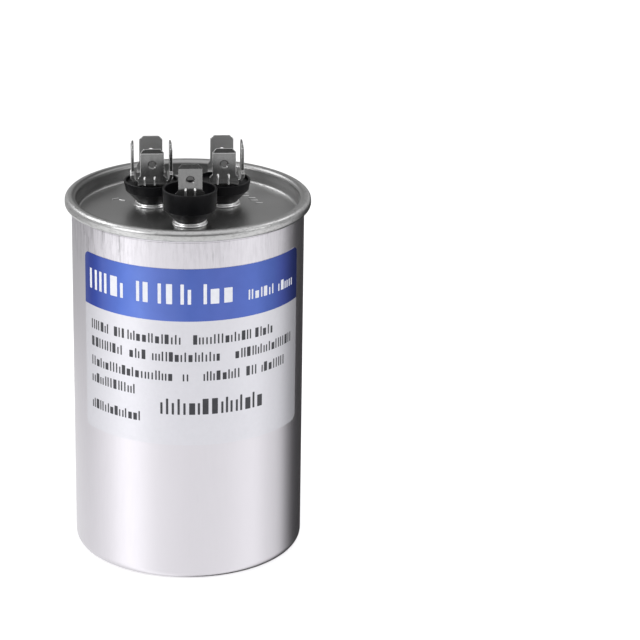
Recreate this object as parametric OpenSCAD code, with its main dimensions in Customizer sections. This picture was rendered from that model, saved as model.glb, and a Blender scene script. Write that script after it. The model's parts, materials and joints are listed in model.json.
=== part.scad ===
// Dual-value motor run capacitor: a drawn aluminium can, a double-seamed lid and three blade terminals.
// The origin is at the centre of the flat base, +Z runs up the can, and the label faces -Y.

/* [Can] */
// Outer diameter of the can's wall
can_d = 63; // [58:0.5:76]
// Height from the base to the top of the seam
can_h = 100.5; // [90:0.5:140]
// Thickness of the can's wall
can_wall = 0.5; // [0.4:0.05:0.7]
// Thickness of the can's base
can_base = 0.8; // [0.6:0.1:1.4]
// Outside radius between the wall and the base
base_round = 2.5; // [1.5:0.1:4]

/* [Seam and lid] */
// Thickness of the lid's sheet
lid_sheet = 0.5; // [0.4:0.05:0.6]
// Height of the double seam
seam_h = 2.9; // [2.7:0.05:3.4]
// Room for sealing compound between the layers of the seam
seam_gap = 0.23; // [0.1:0.01:0.3]
// How far the seaming roll draws the wall in under the seam
neck_in = 0.36; // [0.05:0.01:0.5]
// Outside radius of the seam's two upper edges
crown_round = 1.3; // [0.9:0.05:1.4]
// Depth of the lid's pan under the top of the seam
pan_depth = 4.6; // [4:0.1:6]
// How much the pan's wall leans in, on the radius
pan_lean = 0.1; // [0:0.05:0.6]
// Radius where the pan's wall meets its floor
pan_bend = 0.8; // [0.5:0.1:1]
// Height of the pressed boss under each terminal
boss_h = 1.1; // [0.8:0.05:1.4]
// Diameter of the flat top of each boss
boss_top_d = 8; // [7.6:0.1:8.8]
// Diameter of the hole in each boss
boss_hole_d = 6.2; // [5.6:0.1:6.6]

/* [Terminal layout] */
// Radius of the circle that the three terminals stand on
pitch_r = 11.2; // [10.6:0.1:13]
// Angle of the fan terminal, clockwise from the label's side
layout_turn = 0; // [-20:1:20]

/* [Insulating cups] */
// Diameter of a cup's foot on its boss
cup_foot_d = 8.3; // [8:0.1:9]
// Diameter where the cone meets the wall
cup_waist_d = 14.2; // [13.4:0.1:14.6]
// Height of the cone
cup_cone_h = 3.1; // [2.6:0.1:3.6]
// Height of the floor that the straps lie on, above the boss
cup_floor_h = 4.9; // [4.2:0.1:5]
// Lip diameter of the common and compressor cups
cup_lip_d = 15.1; // [14.9:0.1:16]
// Height of the common and compressor cups above the boss
cup_h = 5.8; // [5.7:0.1:5.9]
// Lip diameter of the fan cup
fan_cup_lip_d = 14.7; // [14.3:0.1:15.6]
// Height of the fan cup above the boss
fan_cup_h = 8.6; // [7:0.1:9.2]
// Thickness of a cup's lip
cup_lip = 0.6; // [0.5:0.05:0.65]
// Radius on the edges of a cup's lip
lip_round = 0.2; // [0.1:0.05:0.25]

/* [Blade terminals] */
// Width of a blade
blade_w = 6.35; // [6:0.05:6.6]
// Thickness of the blades and straps
blade_t = 0.8; // [0.75:0.05:0.85]
// Height of the blade tips above the base of the can's pan
blade_h = 17.4; // [16:0.1:20]
// Length of a blade from its tip to its shoulders
blade_len = 8; // [7.4:0.1:9]
// Width across the shoulders
shoulder_w = 7.7; // [7:0.1:8]
// Height of the slope from a blade out to its shoulders
shoulder_slope = 0.7; // [0.3:0.1:1]
// Width of a strap under its shoulders
strap_w = 5.2; // [4.8:0.1:5.4]
// Corner cut at a blade's tip
tip_cut = 1.05; // [0.8:0.05:1.3]
// Height of the lead-in bevel at a blade's tip
bevel_h = 1.2; // [0.6:0.05:1.4]
// Depth of the lead-in bevel
bevel_in = 0.3; // [0.2:0.05:0.4]
// Diameter of the detent hole
detent_d = 1.8; // [1.5:0.1:2]
// Diameter of the detent hole's countersink
detent_sink_d = 2.4; // [2.1:0.1:2.8]
// Distance from a blade's tip to its detent hole
detent_drop = 4.3; // [3.8:0.1:4.8]
// Distance of the front and back blades from the terminal's centre
main_reach = 6.3; // [6.1:0.05:6.35]
// Distance of the side blades from the terminal's centre
side_reach = 5.2; // [4.9:0.05:5.4]
// Distance of the fan blade from the terminal's centre
fan_reach = 3.4; // [3.3:0.05:3.8]
// Outside radius of the bends in the main and side straps
strap_bend = 2.2; // [2:0.05:2.3]
// Outside radius of the bend in the fan strap
fan_bend = 1.5; // [1.3:0.05:1.55]

/* [Rivets and seals] */
// Diameter of the rivet's shank
rivet_d = 3; // [2.6:0.1:3.2]
// Diameter of the rivet's head
rivet_head_d = 4.4; // [4:0.1:4.6]
// Height of the rivet's head
rivet_head_h = 0.8; // [0.6:0.05:1]
// Height of the rivet's closed end
rivet_tail_h = 0.7; // [0.5:0.05:1]
// Gap round the shank in the pieces that it holds
rivet_gap = 0.05; // [0.02:0.01:0.1]
// Diameter of the cup's spigot through the lid
spigot_d = 6; // [5.4:0.1:6.1]
// Length of the spigot below the boss
spigot_h = 2; // [1.8:0.1:2.2]
// Gap round and under the spigot
spigot_gap = 0.05; // [0.02:0.01:0.1]
// Thickness of the rubber gasket under the boss
gasket_t = 0.8; // [0.5:0.05:0.9]
// Outer diameter of the gasket
gasket_d = 7.9; // [7.3:0.1:7.9]
// Outer diameter of the lower bushing
bushing_d = 12; // [11:0.1:14]
// Thickness of the lower bushing's flange
bushing_t = 1.6; // [1.4:0.1:2.4]

/* [Interrupter and leads] */
// Gap between the interrupter disc and the can
disc_gap = 2; // [1:0.1:3]
// Thickness of the interrupter disc
disc_t = 1.8; // [1.2:0.1:2.6]
// Number of vent holes in the disc
vent_count = 6; // [3:1:9]
// Diameter of the vent holes
vent_d = 4; // [2:0.1:5]
// Radius of the circle of vent holes
vent_r = 22; // [20.5:0.1:24]
// Thickness of the inner lugs
lug_t = 0.5; // [0.4:0.05:0.8]
// Diameter of a lug's eye
lug_d = 5.8; // [5:0.1:6.4]
// Distance from the rivet to the lug's wire hole
lug_reach = 5; // [4.8:0.1:5.6]
// Width of a lug's tongue
lug_w = 2.4; // [2:0.1:3]
// Diameter of the lead wires
wire_d = 1; // [0.8:0.05:1.2]
// Wall of the sleeve over the common lead
sleeve_wall = 0.6; // [0.3:0.05:0.9]
// Diameter of a solder joint on the sprayed ends
solder_d = 3; // [2.4:0.1:3.2]
// Height of a solder joint
solder_h = 0.9; // [0.6:0.1:1.4]

/* [Winding] */
// Inner diameter of the core tube
core_bore_d = 6; // [5:0.1:6.4]
// Outer diameter of the core tube
core_d = 8; // [7.4:0.1:8.4]
// Length by which the core tube stands out of each end
core_proud = 1; // [0.9:0.1:1.6]
// Height of the film's lower end above the inside of the base
winding_lift = 5.2; // [4.6:0.1:7]
// Room between the film's upper end and the interrupter disc
winding_head = 10; // [9:0.5:14]
// Thickness of the sprayed metal on the film's ends
spray_t = 0.8; // [0.5:0.1:1]
// Outer diameter of the fan section's sprayed end
fan_spray_d = 24; // [20:0.5:25]
// Width of the bare ring between the two upper sprayed ends
spray_split = 2; // [1:0.1:2.2]
// Bare margin round the rim of the film's ends
spray_margin = 0.3; // [0.2:0.05:0.5]
// Thickness of the wrap round the film
wrap_t = 0.5; // [0.3:0.05:0.8]
// Gap between the wrap and the insulators
wrap_gap = 0.4; // [0.2:0.05:0.5]
// Gap between the insulators and the can
insulator_gap = 0.6; // [0.4:0.05:0.8]
// Thickness of the insulators' rims round the winding
insulator_rim = 2; // [1:0.1:3]
// Thickness of the insulators' floors and ledges
insulator_t = 1.5; // [1:0.1:2]
// Height of the bottom insulator's rim
insulator_h = 12; // [9:0.5:20]
// Number of ribs under the winding
rib_count = 8; // [5:1:12]
// Thickness of a rib
rib_t = 1.6; // [1.2:0.1:2.4]
// Radius at which the ribs start
rib_r = 10.5; // [10:0.1:14]
// Width of the top spacer's ledge on the winding
ledge_w = 4; // [3:0.1:6]
// How far the top spacer reaches down over the winding
spacer_drop = 4; // [2:0.1:8]
// Number of oil slots in the top spacer
slot_count = 6; // [3:1:10]
// Width of an oil slot
slot_w = 6; // [4:0.5:8]

/* [Label] */
// Bare height of wall between the seam and the label
label_drop = 7.8; // [1:0.1:12]
// Height of the label
label_h = 49.9; // [40:0.1:60]
// Width of the label along the can's wall
label_w = 70; // [50:0.5:80]
// Angle of the label's middle from the -Y side
label_turn = 1.1; // [-10:0.1:10]
// Thickness of the label
label_t = 0.08; // [0.06:0.01:0.1]
// Height of the coloured band at the label's top
band_h = 14.6; // [8:0.1:24]
// Thickness of the band's ink and varnish
band_t = 0.04; // [0.02:0.01:0.04]
// Corner radius of the label
label_round = 2; // [0.5:0.1:4]

/* [Hidden] */
$fn = 128;
over = 1;                                               // how far a cutter runs past the piece it cuts

// Double seam, from the inside out: lid wall, can wall, lid hook, can hook, lid wall
can_r = can_d / 2;
bore_r = can_r - can_wall;
neck_r = can_r - neck_in;
chuck_r = neck_r - can_wall;                            // outer face of the pan's wall, on the can's inside
lid_hook_r = neck_r + seam_gap;
can_hook_r = lid_hook_r + lid_sheet + seam_gap;
panel_r = can_hook_r + can_wall + seam_gap;             // inner face of the seam's outer layer
seam_r = panel_r + lid_sheet;
can_fold_r = (can_hook_r + can_wall - chuck_r) / 2;
lid_fold_r = (seam_r - lid_hook_r) / 2;
seam_z = can_h - seam_h;
can_fold_z = can_h - lid_sheet - seam_gap - can_fold_r;
lid_fold_z = seam_z + lid_fold_r;
neck_drop = 0.4;                                        // the wall is drawn in this far under the seam
neck_h = 0.3;                                           // height of the short cone that does it
neck_z = seam_z - neck_drop;
seal_lift = can_fold_r * 0.4;                           // the compound stops where the crown's gap closes

// Pan and bosses
pan_z = can_h - pan_depth;
pan_r = chuck_r - lid_sheet - pan_lean;                 // inner face of the pan's wall, at the floor
boss_top_r = boss_top_d / 2;
boss_round = boss_h / 2;
boss_r = boss_top_r + boss_h;
boss_z = pan_z + boss_h;
boss_under_z = boss_z - lid_sheet;
under_z = pan_z - lid_sheet;

// Terminals: the fan terminal faces the label, and the others follow at a third of a turn
front_at = -90;                                         // direction of -Y
third_turn = 360 / 3;
fan_at = front_at + layout_turn;
compressor_at = fan_at + third_turn;
common_at = fan_at + 2 * third_turn;
cup_draft = 0.15;                                       // lean of a cup's inner wall, on the radius
seat_z = boss_z + cup_floor_h;
upper_seat_z = seat_z + blade_t;                        // where a second strap lies on the first
tip_z = pan_z + blade_h;
shoulder_z = tip_z - blade_len;
lip_gap = 0.25;                                         // the wide shoulders stop this far above the lip
waist_z = boss_z + cup_h + lip_gap;

// Rivets, gaskets, bushings, disc and lugs
shank_r = rivet_d / 2;
hole_r = shank_r + rivet_gap;
spigot_r = spigot_d / 2;
socket_r = spigot_r + spigot_gap;
spigot_z = boss_z - spigot_h;
gasket_z = boss_under_z - gasket_t;
bushing_z = under_z - bushing_t;
disc_r = bore_r - disc_gap;
disc_z = bushing_z - disc_t;
lug_z = disc_z - lug_t;
tail_z = lug_z - rivet_tail_h;

// Winding
holder_r = bore_r - insulator_gap;
holder_bore_r = holder_r - insulator_rim;
wrap_r = holder_bore_r - wrap_gap;
winding_r = wrap_r - wrap_t;
core_r = core_d / 2;
core_bore_r = core_bore_d / 2;
winding_z = can_base + winding_lift;
winding_top = disc_z - winding_head;
spray_r = winding_r - spray_margin;
core_gap = 0.1;                                         // the spray stops this far short of the core tube
spray_bore_r = core_r + core_gap;
spray_top = winding_top + spray_t;
spray_z = winding_z - spray_t;
wire_r = wire_d / 2;
cross_z = (spray_top + tail_z) / 2;                     // where the common lead crosses to the core
foot_run = 1.5;                                         // from the core tube to the common lead's joint
floor_gap = 0.4;                                        // between the common lead and the tray's floor
foot_r = core_r + foot_run + solder_d / 2;
foot_z = can_base + insulator_t + floor_gap + wire_r;

// Label
label_at = front_at + label_turn;
label_half = label_w / can_r * 90 / PI;                 // half of the label's width, as an angle
label_corner = label_round / can_r * 180 / PI;          // the corner radius, as an angle
label_top = seam_z - label_drop;
label_z = label_top - label_h;
print_r = can_r + label_t;
corner_bite = 0.03;                                     // the rounding cuts this far into both edges

aluminium = "#b9bac4";
tinplate = "#8e8f93";
blade_grey = "#9a9a98";
nylon_black = "#1b1b1d";
rubber_grey = "#4a4b4e";
fibre_brown = "#9b6a3f";
film_silver = "#c6c3b8";
spray_grey = "#a7a6a2";
copper_tinned = "#b8a48c";
sleeve_white = "#e6e1d2";
insulator_white = "#dcdcd4";
wrap_clear = "#d8cfa8";
label_silver = "#c9cad8";
band_blue = "#2f57b0";

// ---- helpers ----

// Moves a piece to a terminal; its local +X points outward from the can's axis
module at_terminal(angle) {
    rotate([0, 0, angle]) translate([pitch_r, 0, 0]) children();
}

// Turns a piece at a terminal so that its local -Y points the way the label faces
module facing_label(angle) {
    at_terminal(angle) rotate([0, 0, -angle + layout_turn]) children();
}

// Plain ring about the Z axis
module ring(r_out, r_in, z, h) {
    translate([0, 0, z]) difference() {
        cylinder(h = h, r = r_out);
        translate([0, 0, -over]) cylinder(h = h + 2 * over, r = r_in);
    }
}

// Half section with square feet and two rounded upper corners
module arch(x0, x1, z0, z1, r) {
    translate([x0, z0]) square([x1 - x0, z1 - r - z0]);
    translate([x0 + r, z0]) square([x1 - x0 - 2 * r, z1 - z0]);
    for (x = [x0 + r, x1 - r]) translate([x, z1 - r]) circle(r);
}

// Half section of a drawn shell's outline, with a rounded corner at its foot
module drawn_outline(r, round, z0, z1) {
    translate([0, z0]) square([r - round, round]);
    translate([0, z0 + round]) square([r, z1 - z0 - round]);
    translate([r - round, z0 + round]) circle(round);
}

// Section of sheet folded back on itself; side is 1 for a fold at the top and -1 for one at the bottom
module fold(x, z, r, t, side) {
    translate([x, z]) intersection() {
        difference() {
            circle(r);
            circle(r - t);
        }
        translate([-r, side > 0 ? 0 : -r]) square([2 * r, r]);
    }
}

// Quarter of a ring, in the corner that turn points to: 0 is +X +Z, 90 is -X +Z, and so on
module quarter(x, z, r_out, r_in, turn) {
    translate([x, z]) rotate(turn) intersection() {
        difference() {
            circle(r_out);
            circle(r_in);
        }
        square(r_out);
    }
}

// Straight round bar from one point to another
module rod(from, to, r) {
    run = to - from;
    translate(from) rotate([0, acos(run.z / norm(run)), atan2(run.y, run.x)])
        cylinder(h = norm(run), r = r);
}

// Wire through a list of points, with a round elbow at each
module wire(points) {
    for (i = [1:len(points) - 1]) rod(points[i - 1], points[i], wire_r);
    for (i = [1:len(points) - 2]) translate(points[i]) sphere(wire_r);
}

// ---- can, seam and lid ----

module can() {
    color(aluminium) rotate_extrude() {
        difference() {
            drawn_outline(can_r, base_round, 0, neck_z - neck_h);
            drawn_outline(bore_r, base_round - can_wall, can_base, neck_z - neck_h + over);
        }
        polygon([[bore_r, neck_z - neck_h], [can_r, neck_z - neck_h], [neck_r, neck_z], [chuck_r, neck_z]]);
        translate([chuck_r, neck_z]) square([can_wall, can_fold_z - neck_z]);
        fold(chuck_r + can_fold_r, can_fold_z, can_fold_r, can_wall, 1);
        translate([can_hook_r, lid_fold_z]) square([can_wall, can_fold_z - lid_fold_z]);
    }
}

// The lid's sheet from the pan's floor, up over the seam's crown and round the hook
module lid_section() {
    translate([0, under_z]) square([pan_r - pan_bend, lid_sheet]);
    quarter(pan_r - pan_bend, pan_z + pan_bend, pan_bend + lid_sheet, pan_bend, 270);
    polygon([[pan_r, pan_z + pan_bend], [pan_r + lid_sheet, pan_z + pan_bend],
             [chuck_r, seam_z], [chuck_r - lid_sheet, seam_z]]);
    translate([chuck_r - lid_sheet, seam_z]) square([lid_sheet, lid_fold_z - seam_z]);
    difference() {
        arch(chuck_r - lid_sheet, seam_r, lid_fold_z, can_h, crown_round);
        arch(chuck_r, panel_r, lid_fold_z - over, can_h - lid_sheet, crown_round - lid_sheet);
    }
    fold(lid_hook_r + lid_fold_r, lid_fold_z, lid_fold_r, lid_sheet, -1);
    translate([lid_hook_r, lid_fold_z]) square([lid_sheet, can_fold_z - lid_fold_z]);
}

// Pressed boss: the sheet rises through two opposite quarter bends
module boss_section() {
    translate([boss_hole_d / 2, boss_under_z]) square([boss_top_r - boss_hole_d / 2, lid_sheet]);
    quarter(boss_top_r, boss_z - boss_round, boss_round, boss_round - lid_sheet, 0);
    quarter(boss_r, pan_z + boss_round, boss_round + lid_sheet, boss_round, 180);
}

module lid() {
    color(tinplate) {
        difference() {
            rotate_extrude() lid_section();
            for (a = [fan_at, compressor_at, common_at])
                at_terminal(a) translate([0, 0, under_z - over])
                    cylinder(h = lid_sheet + 2 * over, r = boss_r);
        }
        for (a = [fan_at, compressor_at, common_at]) at_terminal(a) rotate_extrude() boss_section();
    }
}

// Compound squeezed into the crown of the seam, above the can's fold
module seam_seal() {
    color(rubber_grey) rotate_extrude() difference() {
        intersection() {
            arch(chuck_r, panel_r, can_fold_z, can_h - lid_sheet, crown_round - lid_sheet);
            translate([chuck_r, can_fold_z + seal_lift]) square([panel_r - chuck_r, seam_h]);
        }
        translate([chuck_r + can_fold_r, can_fold_z]) circle(can_fold_r);
    }
}

// ---- insulating cups ----

// Moulded cup: spigot through the lid, cone, drafted wall and a lip round the sunk floor
module cup(height, lip_d) {
    lip_r = lip_d / 2;
    well_r = lip_r - cup_lip;
    lip_z = boss_z + height;
    edge_z = lip_z - 2 * lip_round;
    color(nylon_black) rotate_extrude() {
        polygon([[hole_r, spigot_z], [spigot_r, spigot_z], [spigot_r, boss_z], [cup_foot_d / 2, boss_z],
                 [cup_waist_d / 2, boss_z + cup_cone_h], [lip_r, edge_z], [well_r, edge_z],
                 [well_r - cup_draft, seat_z], [hole_r, seat_z]]);
        arch(well_r, lip_r, edge_z, lip_z, lip_round);
    }
}

module common_cup() at_terminal(common_at) cup(cup_h, cup_lip_d);
module compressor_cup() at_terminal(compressor_at) cup(cup_h, cup_lip_d);
module fan_cup() at_terminal(fan_at) cup(fan_cup_h, fan_cup_lip_d);

// ---- straps and blades ----

// Side view of one bent leg: half of the web, the bend and the upright with its bevelled tip
module leg_profile(reach, bend, z) {
    outer = reach + blade_t / 2;
    translate([0, z]) square([outer - bend, blade_t]);
    quarter(outer - bend, z + bend, bend, bend - blade_t, 270);
    polygon([[outer - blade_t, z + bend], [outer, z + bend], [outer, tip_z - bevel_h],
             [outer - bevel_in, tip_z], [outer - blade_t, tip_z]]);
}

// Front view of a leg: narrow strap, wide shoulders that slope in, then the blade with its cut corners
module leg_front(z) {
    half_w = blade_w / 2;
    slope_z = shoulder_z + shoulder_slope;
    translate([-strap_w / 2, z - over]) square([strap_w, waist_z - z + over]);
    translate([-shoulder_w / 2, waist_z]) square([shoulder_w, shoulder_z - waist_z]);
    polygon([[-shoulder_w / 2, shoulder_z], [shoulder_w / 2, shoulder_z], [half_w, slope_z],
             [half_w, tip_z - tip_cut], [half_w - tip_cut, tip_z], [-half_w + tip_cut, tip_z],
             [-half_w, tip_z - tip_cut], [-half_w, slope_z]]);
}

// Detent hole through a blade, countersunk on its outer face
module detent(reach) {
    outer = reach + blade_t / 2;
    sink = (detent_sink_d - detent_d) / 2;
    translate([outer - blade_t - over, 0, tip_z - detent_drop]) rotate([0, 90, 0]) {
        cylinder(h = blade_t + 2 * over, d = detent_d);
        translate([0, 0, blade_t + over - sink]) cylinder(h = sink, d1 = detent_d, d2 = detent_sink_d);
    }
}

// One leg toward local +X; the web ends at the rivet's axis
module leg(reach, bend, z) {
    difference() {
        intersection() {
            translate([0, shoulder_w / 2, 0]) rotate([90, 0, 0]) linear_extrude(shoulder_w)
                leg_profile(reach, bend, z);
            rotate([90, 0, 90]) linear_extrude(reach + blade_t) leg_front(z);
        }
        detent(reach);
    }
}

module rivet_hole(z) {
    translate([0, 0, z - over]) cylinder(h = blade_t + 2 * over, r = hole_r);
}

// Strap with a blade at each end
module double_strap(reach, z) {
    color(blade_grey) difference() {
        for (turn = [0, 180]) rotate([0, 0, turn]) leg(reach, strap_bend, z);
        rivet_hole(z);
    }
}

// Strap with one blade, and a round end under the rivet
module single_strap(reach, bend, z) {
    color(blade_grey) difference() {
        union() {
            leg(reach, bend, z);
            translate([0, 0, z]) cylinder(h = blade_t, d = strap_w);
        }
        rivet_hole(z);
    }
}

module common_strap() facing_label(common_at) rotate([0, 0, 90]) double_strap(main_reach, seat_z);
module common_cross_strap() facing_label(common_at) double_strap(side_reach, upper_seat_z);
module compressor_strap() facing_label(compressor_at) rotate([0, 0, 90]) double_strap(main_reach, seat_z);
module compressor_side_tab() facing_label(compressor_at) single_strap(side_reach, strap_bend, upper_seat_z);
module fan_tab() facing_label(fan_at) rotate([0, 0, -90]) single_strap(fan_reach, fan_bend, seat_z);

// ---- rivets, gaskets, bushings and lugs ----

// Rivet from the strap's face down through the cup, the bushing, the disc and the lug
module rivet(top_z) {
    dome_r = (pow(rivet_head_d / 2, 2) + pow(rivet_head_h, 2)) / (2 * rivet_head_h);
    color(blade_grey) {
        intersection() {
            translate([0, 0, top_z]) cylinder(h = rivet_head_h, d = rivet_head_d);
            translate([0, 0, top_z + rivet_head_h - dome_r]) sphere(dome_r);
        }
        translate([0, 0, lug_z]) cylinder(h = top_z - lug_z, r = shank_r);
        translate([0, 0, tail_z])
            cylinder(h = rivet_tail_h, d1 = rivet_head_d - rivet_tail_h, d2 = rivet_head_d);
    }
}

module common_rivet() at_terminal(common_at) rivet(upper_seat_z + blade_t);
module compressor_rivet() at_terminal(compressor_at) rivet(upper_seat_z + blade_t);
module fan_rivet() at_terminal(fan_at) rivet(upper_seat_z);

// Rubber ring that seals the spigot inside the hollow of the boss
module gasket() {
    color(rubber_grey) ring(gasket_d / 2, socket_r, gasket_z, gasket_t);
}

module common_gasket() at_terminal(common_at) gasket();
module compressor_gasket() at_terminal(compressor_at) gasket();
module fan_gasket() at_terminal(fan_at) gasket();

// Insulating bushing under the lid: a flange, and a collar that presses the gasket into the boss
module bushing() {
    socket_z = spigot_z - spigot_gap;
    color(nylon_black) rotate_extrude()
        polygon([[hole_r, bushing_z], [bushing_d / 2, bushing_z], [bushing_d / 2, under_z],
                 [gasket_d / 2, under_z], [gasket_d / 2, gasket_z], [socket_r, gasket_z],
                 [socket_r, socket_z], [hole_r, socket_z]]);
}

module common_bushing() at_terminal(common_at) bushing();
module compressor_bushing() at_terminal(compressor_at) bushing();
module fan_bushing() at_terminal(fan_at) bushing();

// Lug with its tongue toward local +X
module lug() {
    color(copper_tinned) translate([0, 0, lug_z]) difference() {
        union() {
            cylinder(h = lug_t, d = lug_d);
            translate([0, -lug_w / 2, 0]) cube([lug_reach, lug_w, lug_t]);
            translate([lug_reach, 0, 0]) cylinder(h = lug_t, d = lug_w);
        }
        translate([0, 0, -over]) cylinder(h = lug_t + 2 * over, r = hole_r);
        translate([lug_reach, 0, -over]) cylinder(h = lug_t + 2 * over, r = wire_r);
    }
}

module common_lug() at_terminal(common_at) rotate([0, 0, 180]) lug();
module compressor_lug() at_terminal(compressor_at) lug();
module fan_lug() at_terminal(fan_at) rotate([0, 0, 180]) lug();

// ---- interrupter and leads ----

// Disc that holds the lugs still while a bulging lid pulls the rivets out of them
module interrupter_disc() {
    color(fibre_brown) translate([0, 0, disc_z]) difference() {
        cylinder(h = disc_t, r = disc_r);
        for (a = [fan_at, compressor_at, common_at])
            at_terminal(a) translate([0, 0, -over]) cylinder(h = disc_t + 2 * over, r = hole_r);
        for (i = [0:vent_count - 1])
            rotate([0, 0, fan_at + i * 360 / vent_count])
                translate([vent_r, 0, -over]) cylinder(h = disc_t + 2 * over, d = vent_d);
    }
}

// Straight lead from a lug down to a sprayed end, with its solder joint
module straight_lead() {
    color(copper_tinned) {
        translate([0, 0, spray_top]) cylinder(h = disc_z - spray_top, r = wire_r);
        translate([0, 0, spray_top]) cylinder(h = solder_h, d1 = solder_d, r2 = wire_r);
    }
}

module compressor_lead() at_terminal(compressor_at) translate([lug_reach, 0, 0]) straight_lead();
module fan_lead() at_terminal(fan_at) translate([-lug_reach, 0, 0]) straight_lead();

// Lead from the common lug across to the core, down through it and up to the lower sprayed end
module common_lead() {
    lug_x = pitch_r - lug_reach;
    color(copper_tinned) rotate([0, 0, common_at]) {
        wire([[lug_x, 0, disc_z], [lug_x, 0, cross_z], [0, 0, cross_z],
              [0, 0, foot_z], [foot_r, 0, foot_z], [foot_r, 0, spray_z]]);
        translate([foot_r, 0, spray_z - solder_h]) cylinder(h = solder_h, r1 = wire_r, d2 = solder_d);
    }
}

module lead_sleeve() {
    sleeve_z = winding_z - core_proud;
    color(sleeve_white) ring(wire_r + sleeve_wall, wire_r, sleeve_z, cross_z - wire_d - sleeve_z);
}

// ---- winding and its insulators ----

// Slotted ring between the winding and the interrupter disc, with a ledge on the winding's rim
module top_spacer() {
    color(insulator_white) difference() {
        rotate_extrude() {
            translate([holder_bore_r, winding_top - spacer_drop])
                square([holder_r - holder_bore_r, disc_z - winding_top + spacer_drop]);
            translate([spray_r - ledge_w, spray_top])
                square([holder_bore_r - spray_r + ledge_w, insulator_t]);
        }
        for (i = [0:slot_count - 1])
            rotate([0, 0, fan_at + (i + 0.5) * 360 / slot_count])
                translate([holder_bore_r - over, -slot_w / 2, spray_top + 2 * insulator_t])
                    cube([holder_r, slot_w, disc_z - spray_top - 3 * insulator_t]);
    }
}

module film_winding() color(film_silver) ring(winding_r, core_r, winding_z, winding_top - winding_z);

module core_tube() {
    color(insulator_white)
        ring(core_r, core_bore_r, winding_z - core_proud, winding_top - winding_z + 2 * core_proud);
}

module fan_spray() color(spray_grey) ring(fan_spray_d / 2, spray_bore_r, winding_top, spray_t);
module compressor_spray() color(spray_grey)
    ring(spray_r, fan_spray_d / 2 + spray_split, winding_top, spray_t);
module common_spray() color(spray_grey) ring(spray_r, spray_bore_r, spray_z, spray_t);
module winding_wrap() color(wrap_clear) ring(wrap_r, winding_r, winding_z, winding_top - winding_z);

// Moulded tray: a floor, a rim round the winding, and ribs that leave room for the lead
module bottom_insulator() {
    floor_z = can_base;
    rib_z = floor_z + insulator_t;
    foot_round = base_round - can_wall;
    color(insulator_white) {
        rotate_extrude() {
            translate([0, floor_z]) square([holder_r - foot_round, insulator_t]);
            polygon([[holder_r - foot_round - over, floor_z], [holder_r - foot_round, floor_z],
                     [holder_r, floor_z + foot_round], [holder_r, floor_z + insulator_h],
                     [holder_bore_r, floor_z + insulator_h], [holder_bore_r, rib_z],
                     [holder_r - foot_round - over, rib_z]]);
        }
        for (i = [0:rib_count - 1])
            rotate([0, 0, common_at + (i + 0.5) * 360 / rib_count])
                translate([rib_r, -rib_t / 2, rib_z])
                    cube([holder_bore_r - rib_r + insulator_rim / 2, rib_t, spray_z - rib_z]);
    }
}

// ---- label ----

// Part of a thin sleeve on the can's wall, over the label's width
module sleeve_sector(r, t, z0, z1) {
    rotate([0, 0, label_at - label_half]) rotate_extrude(angle = 2 * label_half)
        translate([r, z0]) square([t, z1 - z0]);
}

// Radial cutter that rounds one corner; side is 1 at the label's +angle end, turn is the corner's quadrant
module corner_cut(side, z, turn) {
    rotate([0, 0, label_at + side * (label_half - label_corner)])
        translate([can_r - over, 0, z]) rotate([90, 0, 90]) linear_extrude(2 * over) rotate(turn)
            translate([corner_bite, corner_bite]) difference() {
                square(label_round + over);
                circle(label_round);
            }
}

module upper_corners() {
    corner_cut(1, label_top - label_round, 0);
    corner_cut(-1, label_top - label_round, 90);
}

module lower_corners() {
    corner_cut(-1, label_z + label_round, 180);
    corner_cut(1, label_z + label_round, 270);
}

module label() {
    color(label_silver) difference() {
        sleeve_sector(can_r, label_t, label_z, label_top);
        upper_corners();
        lower_corners();
    }
}

module label_band() {
    color(band_blue) difference() {
        sleeve_sector(print_r, band_t, label_top - band_h, label_top);
        upper_corners();
    }
}

can();
lid();
seam_seal();
common_cup();
compressor_cup();
fan_cup();
common_strap();
common_cross_strap();
compressor_strap();
compressor_side_tab();
fan_tab();
common_rivet();
compressor_rivet();
fan_rivet();
common_gasket();
compressor_gasket();
fan_gasket();
common_bushing();
compressor_bushing();
fan_bushing();
interrupter_disc();
common_lug();
compressor_lug();
fan_lug();
common_lead();
compressor_lead();
fan_lead();
lead_sleeve();
top_spacer();
film_winding();
core_tube();
fan_spray();
compressor_spray();
common_spray();
winding_wrap();
bottom_insulator();
label();
label_band();
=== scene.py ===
import json
import math
import random

import bmesh
import bpy
from mathutils import Matrix, Vector


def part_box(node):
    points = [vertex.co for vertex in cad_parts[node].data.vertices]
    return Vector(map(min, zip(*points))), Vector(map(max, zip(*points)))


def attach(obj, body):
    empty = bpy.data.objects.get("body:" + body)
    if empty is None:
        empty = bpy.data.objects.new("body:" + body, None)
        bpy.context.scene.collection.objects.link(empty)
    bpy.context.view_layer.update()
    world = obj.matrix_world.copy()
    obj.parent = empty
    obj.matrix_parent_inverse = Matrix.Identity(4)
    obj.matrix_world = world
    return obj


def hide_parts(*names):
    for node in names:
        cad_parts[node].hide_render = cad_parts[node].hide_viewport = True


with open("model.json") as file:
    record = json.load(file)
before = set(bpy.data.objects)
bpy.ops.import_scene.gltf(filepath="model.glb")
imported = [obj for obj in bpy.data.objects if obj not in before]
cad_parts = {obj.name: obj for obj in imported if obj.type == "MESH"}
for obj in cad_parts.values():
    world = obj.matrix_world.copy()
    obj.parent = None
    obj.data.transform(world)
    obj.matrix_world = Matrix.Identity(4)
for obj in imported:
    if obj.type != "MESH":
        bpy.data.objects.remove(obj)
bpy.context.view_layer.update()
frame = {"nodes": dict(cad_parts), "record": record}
nodes = frame["nodes"]
mounts = {mount["name"]: mount for mount in frame["record"]["mounts"]}
mm = 0.001
canRadius = mounts["strap_band"]["dims"]["r_mm"] * mm
print("frame loaded:", len(nodes), "parts")


# camera

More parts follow.
